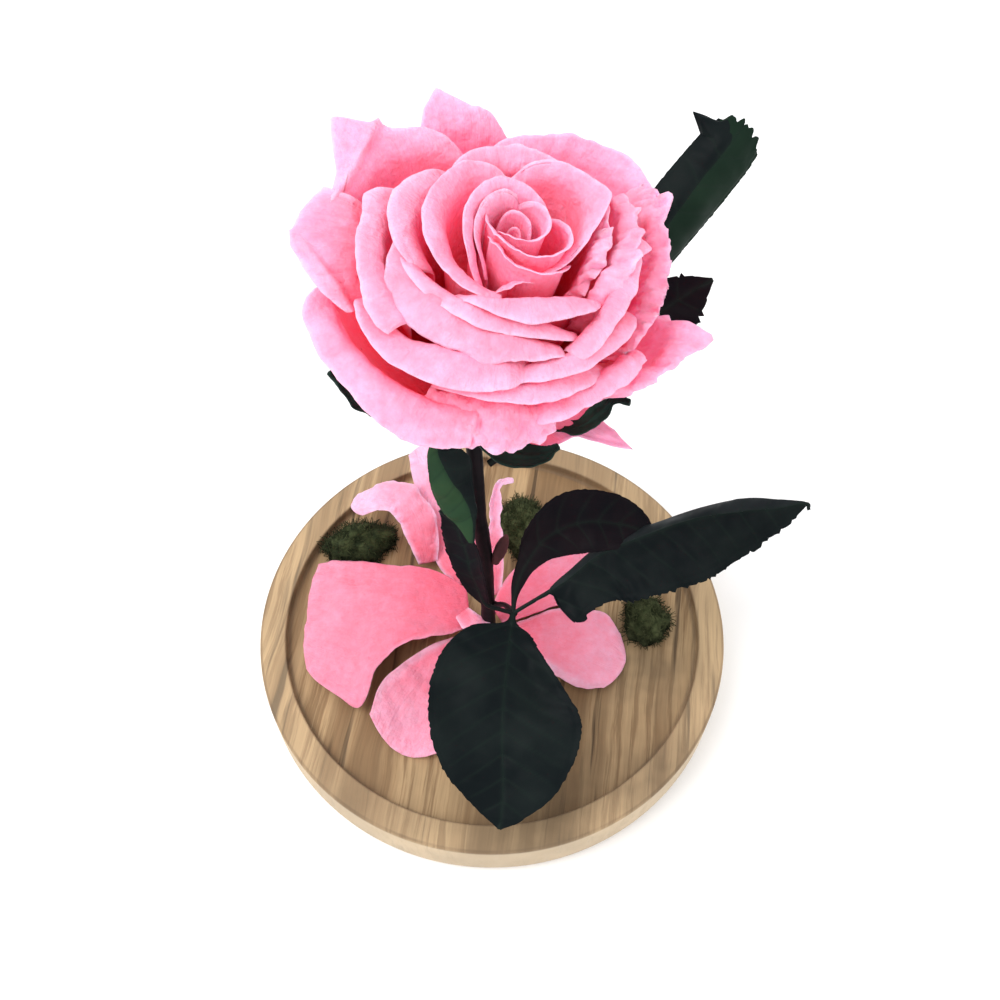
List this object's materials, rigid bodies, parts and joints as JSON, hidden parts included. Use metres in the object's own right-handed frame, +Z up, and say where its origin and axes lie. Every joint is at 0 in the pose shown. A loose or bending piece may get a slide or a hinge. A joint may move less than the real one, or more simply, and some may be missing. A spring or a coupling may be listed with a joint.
{
  "type": "preserved rose on a round wooden base",
  "caption": "Single preserved pink rose with leaves, standing in the shallow recess of a round wooden base with fallen petals and tufts of moss.",
  "frame": {"origin": "centre of the wooden base's underside", "axes": "+Z up along the base's axis, +X to the right as seen in the picture, +Y to the back, away from the camera"},
  "size_m": [0.1274, 0.12, 0.1545],
  "materials": {
    "wood": "bare open-grained wood, matt, with brown streaks",
    "petal": "soft matt preserved petal, light pink on the rims and coral in the folds",
    "leaf": "dyed preserved leaf, near black, with a low sheen",
    "stem": "dyed dark woody stem",
    "hip": "dark green, low sheen",
    "moss": "dry dark green moss fibres"
  },
  "bodies": {
    "root": {"wooden_base": "wood", "main_stem": "stem", "side_shoot": "stem", "leaf_stalk": "stem", "rose_hip": "hip", "sepal_left": "leaf", "sepal_front": "leaf", "sepal_right": "leaf", "sepal_back": "leaf", "sepal_back_left": "leaf", "petal_01": "petal", "petal_02": "petal", "petal_03": "petal", "petal_04": "petal", "petal_05": "petal", "petal_06": "petal", "petal_07": "petal", "petal_08": "petal", "petal_09": "petal", "petal_10": "petal", "petal_11": "petal", "petal_12": "petal", "petal_13": "petal", "petal_14": "petal", "petal_15": "petal", "petal_16": "petal", "petal_17": "petal", "petal_18": "petal", "petal_19": "petal", "petal_20": "petal", "petal_21": "petal", "petal_22": "petal", "petal_23": "petal", "petal_24": "petal", "petal_25": "petal", "petal_26": "petal", "petal_27": "petal", "petal_28": "petal", "petal_29": "petal", "petal_30": "petal", "petal_31": "petal", "leaflet_front": "leaf", "leaflet_right": "leaf", "leaflet_back_right": "leaf", "leaflet_left": "leaf", "leaf_upper_left": "leaf", "leaf_upper_right": "leaf", "leaf_right_serrated": "leaf", "fallen_petal_left": "petal", "fallen_petal_lower_left": "petal", "fallen_petal_right": "petal", "fallen_petal_back": "petal", "fallen_petal_back_narrow": "petal", "fallen_petal_curled": "petal", "fallen_petal_back_left": "petal", "fallen_petal_small": "petal", "moss_left": "moss", "moss_back": "moss", "moss_right": "moss"}
  },
  "joints": []
}
